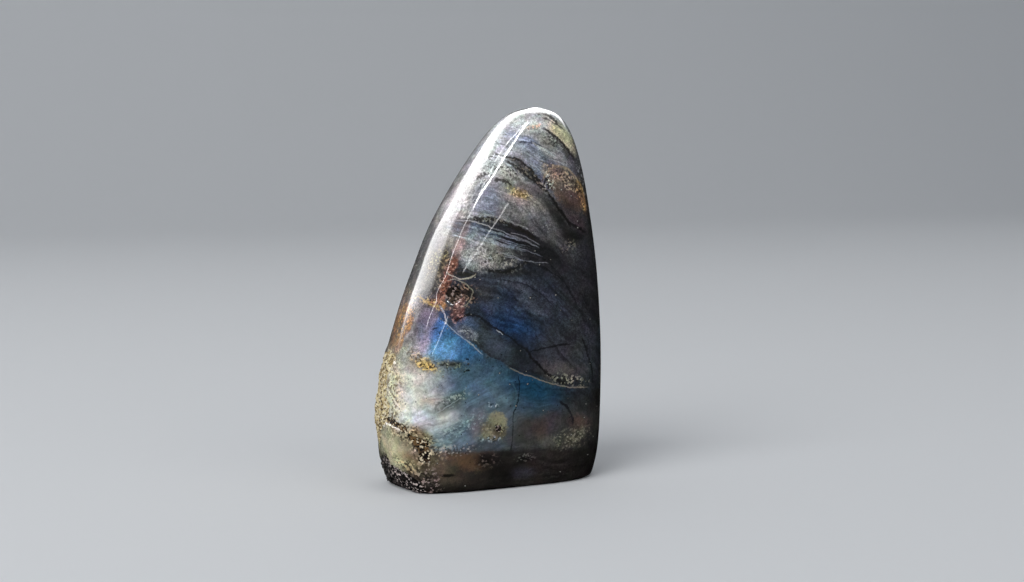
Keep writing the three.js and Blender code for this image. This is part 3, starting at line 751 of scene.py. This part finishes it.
def shaded(tree, colour, value, dark, light, mask=1.0):
    """colour, made darker or lighter as a noise goes from low to high, where the mask says."""
    ends = {"Value": value, **NOISE_RANGE, "To Min": dark, "To Max": light}
    factor = add(tree, "MapRange", ends, **SMOOTHLY).outputs[0]
    grey = add(tree, "CombineColor", {0: factor, 1: factor, 2: factor}).outputs[0]
    inputs = {"Fac": mask, "Color1": colour, "Color2": grey}
    return add(tree, "MixRGB", inputs, blend_type="MULTIPLY").outputs["Color"]


def streaks(tree, where, tilt, length, apart, detail):
    """Noise drawn out along a tilt: how long its streaks are, and how far apart."""
    turn, size = (0, math.radians(tilt), 0), (length, length, apart)
    place = {"Vector": where, "Rotation": turn, "Scale": size}
    turned = add(tree, "Mapping", place, vector_type="TEXTURE").outputs[0]
    return add(tree, "TexNoise", {"Vector": turned, "Scale": 1.0, "Detail": detail}).outputs["Fac"]


def streaked(tree, colour, where, row, within=1.0):
    """colour, with one of the tables' streaks over it."""
    *pattern, low, high, strength, hex_code = row
    mask = soft_edge(tree, streaks(tree, where, *pattern), low, high, strength=strength)
    return laid_over(tree, colour, hex_code, mask, within)


def specks(tree, where, spacing, size, share):
    """Small round specks with a soft rim, in that share of the places where they may be."""
    cells = add(tree, "TexVoronoi", {"Vector": where, "Scale": 1 / spacing})
    near = soft_edge(tree, cells.outputs["Distance"], size / spacing, 0.5 * size / spacing)
    chance = add(tree, "SeparateColor", {0: cells.outputs["Color"]}).outputs[0]
    chosen = soft_edge(tree, chance, share, share - 0.02)
    return add(tree, "Math", {0: near, 1: chosen}, operation="MULTIPLY").outputs[0]


def oval(tree, where, fray, shape, side):
    """How much of a point lies in a soft oval of one side, from 0 to the oval's strength."""
    x, z, half_length, half_width, tilt, soft, ragged, strength = shape
    place = {
        "Vector": where,
        "Location": (x, side, z),
        "Rotation": (0, math.radians(tilt), 0),
        "Scale": (2 * half_length, 2 * OVAL_DEPTH, 2 * half_width),
    }
    local = add(tree, "Mapping", place, vector_type="TEXTURE").outputs[0]
    # 1 in the oval's middle, a half on its border. The fray only ever takes away from it.
    near = add(tree, "TexGradient", {"Vector": local}, gradient_type="SPHERICAL").outputs["Fac"]
    border = 0.5 - ragged / 4
    low = max(border - soft / 2, 0.02)
    return soft_edge(tree, near, low, border + soft / 2, fray, ragged / 2, strength)


def circle_through(a, b, c):
    """The centre and radius of the circle through three points."""
    (ax, az), (bx, bz), (cx, cz) = a, b, c
    twice_area = 2 * (ax * (bz - cz) + bx * (cz - az) + cx * (az - bz))
    squares = [p[0] ** 2 + p[1] ** 2 for p in (a, b, c)]
    x = (squares[0] * (bz - cz) + squares[1] * (cz - az) + squares[2] * (az - bz)) / twice_area
    z = (squares[0] * (cx - bx) + squares[1] * (ax - cx) + squares[2] * (bx - ax)) / twice_area
    return x, z, math.hypot(ax - x, az - z)


def off_arc(tree, where, points):
    """How far outside the circle through three points a point is, seen along the stone's depth."""
    x, z, radius = circle_through(*points)
    flattened = add(tree, "VectorMath", {0: where, 1: (1, 0, 1)}, operation="MULTIPLY").outputs[0]
    away = add(tree, "VectorMath", {0: flattened, 1: (x, 0, z)}, operation="DISTANCE")
    return add(tree, "Math", {0: away.outputs["Value"], 1: radius}, operation="SUBTRACT").outputs[0]


def arc(tree, where, fray, points, width, strength, side):
    """How much of a point lies on an arc through three points, from 0 to its strength."""
    (ax, az), (bx, bz), (cx, cz) = points
    x, z = (ax + cx) / 2, (az + cz) / 2
    half_length = math.hypot(cx - ax, cz - az) / 2
    rise = math.hypot(bx - x, bz - z)
    tilt = -math.degrees(math.atan2(cz - az, cx - ax))
    apart = add(tree, "Math", {0: off_arc(tree, where, points)}, operation="ABSOLUTE").outputs[0]
    line = soft_edge(tree, apart, ARC_RIM * width, ARC_CORE * width, fray, ARC_FRAY * width)
    shape = (x, z, half_length * ARC_REACH, rise + ARC_ROOM, tilt, *ARC_ENDS, strength)
    ends = oval(tree, where, fray, shape, side)
    return add(tree, "Math", {0: line, 1: ends}, operation="MULTIPLY").outputs[0]


def with_zones(tree, colour, where, fray, zones, side):
    """colour, with a table's zones laid over it."""
    for _, *shape, hex_code in zones:
        colour = laid_over(tree, colour, hex_code, oval(tree, where, fray, shape, side))
    return colour


def with_flash(tree, rock, colour, flash, zones, side):
    """colour, with a table's fields of flash laid over it; and how far a point is in any so far."""
    for _, *shape, hex_code in zones:
        mask = oval(tree, rock.drift, rock.coarse_fray, shape, side)
        colour = laid_over(tree, colour, hex_code, mask)
        flash = add(tree, "Math", {0: mask, 1: flash}, operation="MAXIMUM").outputs[0]
    return colour, flash


def with_lines(tree, rock, colour, lines, side):
    """colour, with a table's arcs drawn over it."""
    for _, *points, width, hex_code, strength in lines:
        mask = arc(tree, rock.crack, rock.fine_fray, points, width, strength, side)
        colour = laid_over(tree, colour, hex_code, mask)
    return colour


def rock_patterns(tree):
    """What every layer of the stone shares: places on it in millimetres, and the rock's noises."""
    place = add(tree, "TexCoord").outputs["Object"]
    flat = add(tree, "VectorMath", {0: place, "Scale": 1 / MM}, operation="SCALE").outputs[0]
    noises = []
    for size, detail, rough in (COARSE, FINE, GRIT):
        inputs = {"Vector": flat, "Scale": 1 / size, "Detail": detail, "Roughness": rough}
        noises.append(add(tree, "TexNoise", inputs).outputs["Fac"])
    coarse, fine, grit = noises
    coarse_fray, fine_fray = [
        add(tree, "MapRange", {"Value": value, **FRAYING}, **SMOOTHLY).outputs[0]
        for value in (coarse, fine)
    ]
    crack = wander(tree, flat, BREAKING)
    grains = add(tree, "TexVoronoi", {"Vector": crack, "Scale": 1 / GRAIN})
    chance = add(tree, "SeparateColor", {0: grains.outputs["Color"]}).outputs[0]
    return SimpleNamespace(
        flat=flat,
        drift=wander(tree, flat, FLOWING),
        crack=crack,
        coarse=coarse,
        fine=fine,
        grit=grit,
        coarse_fray=coarse_fray,
        fine_fray=fine_fray,
        dark_grains=soft_edge(tree, chance, *DARK_GRAINS),
        pale_grains=soft_edge(tree, chance, *PALE_GRAINS),
    )


def ground_and_zones(tree, rock):
    """The dark ground with its clouds and its pale bristles, and the soft colour zones over it."""
    clouds = soft_edge(tree, rock.coarse, *CLOUD_LIMITS)
    colour = laid_over(tree, linear(GROUND), CLOUDS, clouds)
    colour = streaked(tree, colour, rock.drift, BRISTLES)
    for side, zones in ((FLANK, FLANK_ZONES), (FRONT, FACE_ZONES), (BACK, BACK_ZONES)):
        colour = with_zones(tree, colour, rock.drift, rock.coarse_fray, zones, side)
    return {"colour": colour}


def flash_and_plates(tree, rock):
    """The blue flash and the plates that break away above it, and how far a point is in flash."""
    colour, flash = rock.colour, 0.0
    for side, zones in ((FLANK, FLANK_FLASH), (BACK, BACK_FLASH), (FRONT, FACE_FLASH)):
        colour, flash = with_flash(tree, rock, colour, flash, zones, side)
    for side, plates in ((BACK, BACK_PLATES), (FRONT, FACE_PLATES)):
        for _, points, inside, soft, shape, hex_code in plates:
            off = off_arc(tree, rock.crack, points)
            edge = soft * inside
            beyond = soft_edge(tree, off, edge, -edge, rock.fine_fray, PLATE_FRAY)
            within = oval(tree, rock.crack, rock.fine_fray, shape, side)
            colour = laid_over(tree, colour, hex_code, within, beyond)
    colour, flash = with_flash(tree, rock, colour, flash, FLASH_ON_PLATES, FRONT)
    colour = with_zones(tree, colour, rock.drift, rock.coarse_fray, ZONES_ON_PLATES, FRONT)
    return {"colour": colour, "flash": flash}


def cleavage(tree, rock):
    """Fine parallel sheets that catch the light one by one, and pale threads between them."""
    colour = rock.colour
    for side, fields in ((FRONT, FACE_SHEETS), (FLANK, FLANK_SHEETS), (BACK, BACK_SHEETS)):
        for _, *shape, apart, dark, light in fields:
            tilt = shape[4]
            sheets = streaks(tree, rock.drift, tilt, SHEET_LENGTH, apart, SHEET_DETAIL)
            shape += SHEET_FIELD
            within = oval(tree, rock.drift, rock.coarse_fray, shape, side)
            colour = shaded(tree, colour, sheets, dark, light, within)
    within = oval(tree, rock.drift, rock.fine_fray, THREADED, FRONT)
    return {"colour": streaked(tree, colour, rock.crack, THREADS, within)}


def marks_and_fractures(tree, rock):
    """The small marks of the face, and the dark cracks of the face and the back."""
    colour = with_zones(tree, rock.colour, rock.crack, rock.fine_fray, FACE_MARKS, FRONT)
    for side, lines in ((FRONT, FACE_FRACTURES), (BACK, BACK_LINES)):
        colour = with_lines(tree, rock, colour, lines, side)
    return {"colour": colour}


def grains_and_hair_lines(tree, rock):
    """Clusters of broken grains, a net of pale hair cracks, and the pale lines of healed cracks."""
    colour = rock.colour
    for side, clusters in ((FRONT, FACE_FLECKS), (FLANK, FLANK_FLECKS), (BACK, BACK_FLECKS)):
        for _, *shape, dark, pale in clusters:
            mask = oval(tree, rock.crack, rock.fine_fray, shape, side)
            colour = laid_over(tree, colour, dark, rock.dark_grains, mask)
            colour = laid_over(tree, colour, pale, rock.pale_grains, mask)
    inputs = {"Vector": rock.crack, "Scale": 1 / NET_MESH}
    meshes = add(tree, "TexVoronoi", inputs, feature="DISTANCE_TO_EDGE")
    net = soft_edge(tree, meshes.outputs["Distance"], *NET_LINES)
    within = oval(tree, rock.crack, rock.fine_fray, NETTED, FRONT)
    colour = laid_over(tree, colour, NET_COLOUR, net, within)
    return {"colour": with_lines(tree, rock, colour, FACE_HAIR_LINES, FRONT)}


def mottling(tree, rock):
    """Clouds of other hues, mottling at three sizes, and specks, the pale ones painted glints in a
    dark ring.
    """
    hues = add(tree, "TexNoise", {"Vector": rock.drift, "Scale": 1 / HUE_SIZE, "Detail": 2.0})
    levels = {0: hues.outputs["Color"], 1: (HUE_STRENGTH,) * 3, 2: (HUE_LEVEL,) * 3}
    tint = add(tree, "VectorMath", levels, operation="MULTIPLY_ADD").outputs[0]
    inputs = {"Fac": 1.0, "Color1": rock.colour, "Color2": tint}
    colour = add(tree, "MixRGB", inputs, blend_type="MULTIPLY").outputs["Color"]
    smooth = oval(tree, rock.drift, rock.coarse_fray, SMOOTH_ROCK, FRONT)
    mottled = soft_edge(tree, smooth, *SMOOTH_LIMITS)
    for noise_name, dark, light, spares in MOTTLING:
        mask = mottled if spares else 1.0
        colour = shaded(tree, colour, getattr(rock, noise_name), dark, light, mask)
    for _, places, spacing, size, share, strength, hex_code in SPECKS:
        mask = specks(tree, getattr(rock, places), spacing, size, share)
        colour = laid_over(tree, colour, hex_code, mask, strength)
    return {"colour": colour}


def raw_rock(tree, rock):
    """The raw parts of the stone over all the rest, and how far a point is in any of them."""
    colour, raw = rock.colour, 0.0
    for kind, ground, clouds, dark, pale, sparkling in RAW_ROCK:
        noted = add(tree, "Attribute", attribute_name=kind).outputs["Fac"]
        mask = soft_edge(tree, noted, *RAW_LIMITS, rock.fine_fray, RAW_FRAY)
        cloudy = soft_edge(tree, rock.coarse, *RAW_CLOUD_LIMITS)
        broken = laid_over(tree, linear(ground), clouds, cloudy)
        broken = laid_over(tree, broken, dark, rock.dark_grains)
        within = oval(tree, rock.crack, rock.fine_fray, sparkling, FRONT)
        broken = laid_over(tree, broken, pale, rock.pale_grains, within)
        inputs = {"Fac": mask, "Color1": colour, "Color2": broken}
        colour = add(tree, "MixRGB", inputs).outputs["Color"]
        raw = add(tree, "Math", {0: mask, 1: raw}, operation="MAXIMUM").outputs[0]
    return {"colour": colour, "raw": raw}


LAYERS = (
    ground_and_zones,
    flash_and_plates,
    cleavage,
    marks_and_fractures,
    grains_and_hair_lines,
    mottling,
    raw_rock,
)

# What a node group calls each type of socket.
SOCKETS = {"VALUE": "NodeSocketFloat", "VECTOR": "NodeSocketVector", "RGBA": "NodeSocketColor"}


def add_layer(tree, paint, rock):
    """Has paint build one layer in a node group of its own, and puts what it made into rock.

    Many small trees build far faster than one large one.
    """
    group = bpy.data.node_groups.new(paint.__name__, "ShaderNodeTree")
    way_in, way_out = group.nodes.new("NodeGroupInput"), group.nodes.new("NodeGroupOutput")
    given = dict(vars(rock))
    for name, socket in given.items():
        group.interface.new_socket(name, in_out="INPUT", socket_type=SOCKETS[socket.type])
    made = paint(group, SimpleNamespace(**{name: way_in.outputs[name] for name in given}))
    for name, socket in made.items():
        group.interface.new_socket(name, in_out="OUTPUT", socket_type=SOCKETS[socket.type])
        group.links.new(socket, way_out.inputs[name])
    placed = add(tree, "Group", node_tree=group)
    for name, socket in given.items():
        tree.links.new(socket, placed.inputs[name])
    for name in made:
        setattr(rock, name, placed.outputs[name])


def polished_labradorite():
    """Plagioclase feldspar, ground and polished by hand, and matt where it was left raw.

    The polish gives the eye crisp thin reflections over soft depths of colour.
    """
    material, tree = new_material("ground_and_polished_feldspar")
    rock = rock_patterns(tree)
    for paint in LAYERS:
        add_layer(tree, paint, rock)
    heights = {0: rock.grit, 1: GRIT_RELIEF, 2: rock.fine}
    relief = add(tree, "Math", heights, operation="MULTIPLY_ADD").outputs[0]
    bump = {"Height": relief, "Strength": RELIEF_STRENGTH, "Distance": RELIEF_DEPTH}
    metallic = add(tree, "Math", {0: rock.flash, 1: FLASH_METALLIC}, operation="MULTIPLY")
    look = {
        "Base Color": rock.colour,
        "Metallic": metallic.outputs[0],
        "IOR": FELDSPAR_IOR,
        "Normal": add(tree, "Bump", bump).outputs[0],
        "Specular IOR Level": BODY_SPECULAR,
        "Coat Roughness": COAT_ROUGHNESS,
        "Coat IOR": FELDSPAR_IOR,
    }
    for socket, (polished, raw) in POLISHED_AND_RAW.items():
        spread = {"Value": rock.raw, "To Min": polished, "To Max": raw}
        look[socket] = add(tree, "MapRange", spread).outputs[0]
    shader = add(tree, "BsdfPrincipled", look)
    add(tree, "OutputMaterial", {"Surface": shader.outputs[0]})
    return material


# ---------------------------------------------------------------- the stone's form
#
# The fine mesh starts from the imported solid. Where the rock was left raw it is broken up further,
# and cut back with grains, steps and holes. Places here are millimetres in the stone's own frame.

# The broken corner of the foot: the way its rough flat faces, how far out it lies, and how far
# behind it the rock starts to be broken and is broken throughout.
BREAK_FACING = Vector((-0.78, -0.2, -0.59)).normalized()
BREAK_DISTANCE = 22.9
BREAK_STARTS, BREAK_FULL = 3.6, 2.6

# Where its front border runs, as x and z.
BREAK_BORDER = [
    (-35.0, 11.8), (-33.7, 11.2), (-33.0, 8.5), (-31.5, 6.9),
    (-29.6, 6.5), (-26.8, 4.1), (-24.9, 1.6), (-23.4, -1.0),
]

# The raw crust of the left flank: the middle of its angles, which run round from +X, and its
# border on the face, as heights and angles.
CRUST_MIDDLE = (0.3, -2.9)
CRUST_BORDER = [
    (9, 175.0), (17, 181.0), (22, 190.5), (26, 190.5), (28, 186.0), (33, 186.0), (42, 191.0),
]

# Pits that the polishing left open: middle, radius and depth.
PITS = [
    ((-16.3, -17.6, 58.3), 2.6, 0.7),
    ((-3.7, -20.2, 18.8), 1.1, 0.35),
    ((19.3, 10.6, 63.0), 3.4, 0.6),
    ((-8.7, 19.6, 27.0), 4.0, 0.6),
]
PIT_FLOOR, PIT_BRIM = 0.3, 1.1  # where a pit's hollow is deepest, and where it ends, in radii

# The rough trench that runs down the left of the face: x, z and half its width.
TRENCH = [
    (-33.4, 21.4, 0.9),
    (-31.6, 20.1, 1.3),
    (-30.0, 18.2, 0.6),
    (-28.2, 16.5, 1.1),
    (-26.2, 14.7, 1.9),
    (-25.4, 12.4, 1.8),
    (-26.3, 10.8, 1.0),
]

# Soft borders: how far the wobble pushes each about, where it starts and where it is past. The
# break is measured in millimetres inside its border, the crust's foot and head in height, its rear
# in degrees and its front in degrees past its border, a trench in shares of its depth, and a pit
# in radii.
BREAK_EDGE = (0.35, -0.4, 0.5)
CRUST_FOOT, CRUST_HEAD = (1.5, 11.0, 15.0), (0.6, 40.3, 41.5)
CRUST_REAR, CRUST_FRONT = (6, 146.0, 152.0), (1.8, -3, 1)
TRENCH_EDGE = (0.3, -0.1, 0.4)
PIT_EDGE = (0.17, 0.75, 1.1)

# Noises, as pairs of size in millimetres and share: what the borders wobble by, the steps the rock
# broke in, and its grain.
WOBBLE = [(5.0, 2.0), (1.6, 1.0)]
STEPS = [(1.7, 0.5), (0.8, 0.25)]
GRAINS = [(1.9, 1.0), (0.9, 0.6), (0.45, 0.3)]

# The kinds of raw rock, as the mesh and the material name them, and how deep each is cut back in
# millimetres: evenly, by its steps and by its grain.
CUTS = {
    "broken": (0.1, 0.55, 0.5),
    "crust": (0.05, 0.25, 0.8),
    "trench": (0.45, 0.0, 0.5),
    "pits": (0.0, 0.0, 0.45),
}
BASE_KEPT = 0.6  # raw rock is not cut back this near the base, so the stone still stands on it
FLAT_SHADED = 0.5  # how raw a face has to be to look broken rather than smooth
SUBDIVISIONS = 2


def ramp(value, low, high):
    """value, taken smoothly from 0 at low to 1 at high."""
    share = min(max((value - low) / (high - low), 0.0), 1.0)
    return share * share * (3 - 2 * share)


def past(value, wobble, border):
    """How far a value is past a soft border that wobbles, from 0 to 1."""
    push, start, end = border
    return ramp(value + push * wobble, start, end)


def on_line(x, rows):
    """The value at x on a line of straight pieces, given as pairs in the order of x."""
    if x <= rows[0][0]:
        return rows[0][1]
    for (ax, a), (bx, b) in zip(rows, rows[1:]):
        if x <= bx:
            return a + (b - a) * (x - ax) / (bx - ax)
    return rows[-1][1]


def in_trench(x, z):
    """How deep in the trench a point of the face is: 1 on its line, 0 on its border."""
    deepest = -math.inf
    for (ax, az, a_width), (bx, bz, b_width) in zip(TRENCH, TRENCH[1:]):
        run, rise = bx - ax, bz - az
        along = ((x - ax) * run + (z - az) * rise) / (run * run + rise * rise)
        along = min(max(along, 0.0), 1.0)
        away = math.hypot(x - ax - along * run, z - az - along * rise)
        deepest = max(deepest, 1 - away / (a_width + along * (b_width - a_width)))
    return deepest


def off_pit(p, pit):
    """How far a point is from the middle of a pit, in radii."""
    middle, radius, _ = pit
    return (p - Vector(middle)).length / radius


def raw_shares(p):
    """How far a point is in each kind of raw rock, in the order of CUTS."""
    wobble = sum(share * noise.noise(p / size) for size, share in WOBBLE)
    broken = past(on_line(p.x, BREAK_BORDER) - p.z, wobble, BREAK_EDGE)
    broken *= ramp(p.dot(BREAK_FACING), BREAK_DISTANCE - BREAK_STARTS, BREAK_DISTANCE - BREAK_FULL)
    around = math.degrees(math.atan2(p.y - CRUST_MIDDLE[1], p.x - CRUST_MIDDLE[0])) % 360
    crust = past(p.z, wobble, CRUST_FOOT) * (1 - past(p.z, wobble, CRUST_HEAD))
    crust *= past(around, wobble, CRUST_REAR)
    crust *= 1 - past(around - on_line(p.z, CRUST_BORDER), wobble, CRUST_FRONT)
    trench = past(in_trench(p.x, p.z), wobble, TRENCH_EDGE) if p.y < 0 else 0.0
    pits = max(1 - past(off_pit(p, pit), wobble, PIT_EDGE) for pit in PITS)
    return broken, crust, trench, pits


def cut_back(p, shares):
    """How much rock is missing at a point of the raw surface, in millimetres."""
    steps = sum(share * noise.cell(p / size) for size, share in STEPS)
    grain = sum(share * abs(noise.noise(p / size)) for size, share in GRAINS)
    depth = 0.0
    for share, (evenly, by_steps, by_grain) in zip(shares, CUTS.values()):
        depth += share * (evenly + by_steps * steps + by_grain * grain)
    pits = shares[-1]
    for pit in PITS:
        depth += pit[-1] * pits * (1 - ramp(off_pit(p, pit), PIT_FLOOR, PIT_BRIM))
    return depth


def smooth_copy(solid, name):
    """A fine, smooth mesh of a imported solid: its triangles joined to quads and subdivided."""
    mesh = bmesh.new()
    mesh.from_mesh(solid.data)
    bmesh.ops.remove_doubles(mesh, verts=mesh.verts, dist=0.001 * MM)
    bmesh.ops.join_triangles(
        mesh,
        faces=mesh.faces,
        cmp_seam=False,
        cmp_sharp=False,
        cmp_uvs=False,
        cmp_vcols=False,
        cmp_materials=False,
        angle_face_threshold=math.radians(60),
        angle_shape_threshold=math.radians(80),
    )
    data = bpy.data.meshes.new(name)
    mesh.to_mesh(data)
    mesh.free()
    copy = bpy.data.objects.new(name, data)
    bpy.context.scene.collection.objects.link(copy)
    smooth = copy.modifiers.new("smooth", "SUBSURF")
    smooth.levels = smooth.render_levels = SUBDIVISIONS
    graph = bpy.context.evaluated_depsgraph_get()
    finished = bpy.data.meshes.new_from_object(copy.evaluated_get(graph))
    copy.modifiers.clear()
    copy.data = finished
    return copy


def roughen(stone):
    """Breaks up the raw parts of the stone, cuts them back, and notes on each point what it is."""
    mesh = bmesh.new()
    mesh.from_mesh(stone.data)
    shares = {v: raw_shares(v.co / MM) for v in mesh.verts}
    raw_faces = [f for f in mesh.faces if any(max(shares[v]) > 0 for v in f.verts)]
    raw_edges = list({e for f in raw_faces for e in f.edges})
    bmesh.ops.subdivide_edges(mesh, edges=raw_edges, cuts=1, use_grid_fill=True)
    mesh.normal_update()
    notes = [mesh.verts.layers.float.new(kind) for kind in CUTS]
    moves = []
    for v in mesh.verts:
        p = v.co / MM
        share = shares.get(v) or raw_shares(p)
        for note, value in zip(notes, share):
            v[note] = value
        if max(share) > 0:
            depth = cut_back(p, share) * ramp(p.z, 0, BASE_KEPT)
            moves.append((v, v.normal * depth * MM))
    for v, move in moves:
        v.co -= move
    for face in mesh.faces:
        rawest = max(v[note] for note in notes for v in face.verts)
        face.smooth = rawest < FLAT_SHADED
    mesh.to_mesh(stone.data)
    mesh.free()


def make_stone():
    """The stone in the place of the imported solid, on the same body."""
    stone = smooth_copy(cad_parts["labradorite_stone"], "stone")
    roughen(stone)
    stone.data.materials.clear()
    stone.data.materials.append(polished_labradorite())
    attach(stone, "root")
    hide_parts("labradorite_stone")


make_camera()
make_floor()
make_lamps()
make_air()
make_stone()
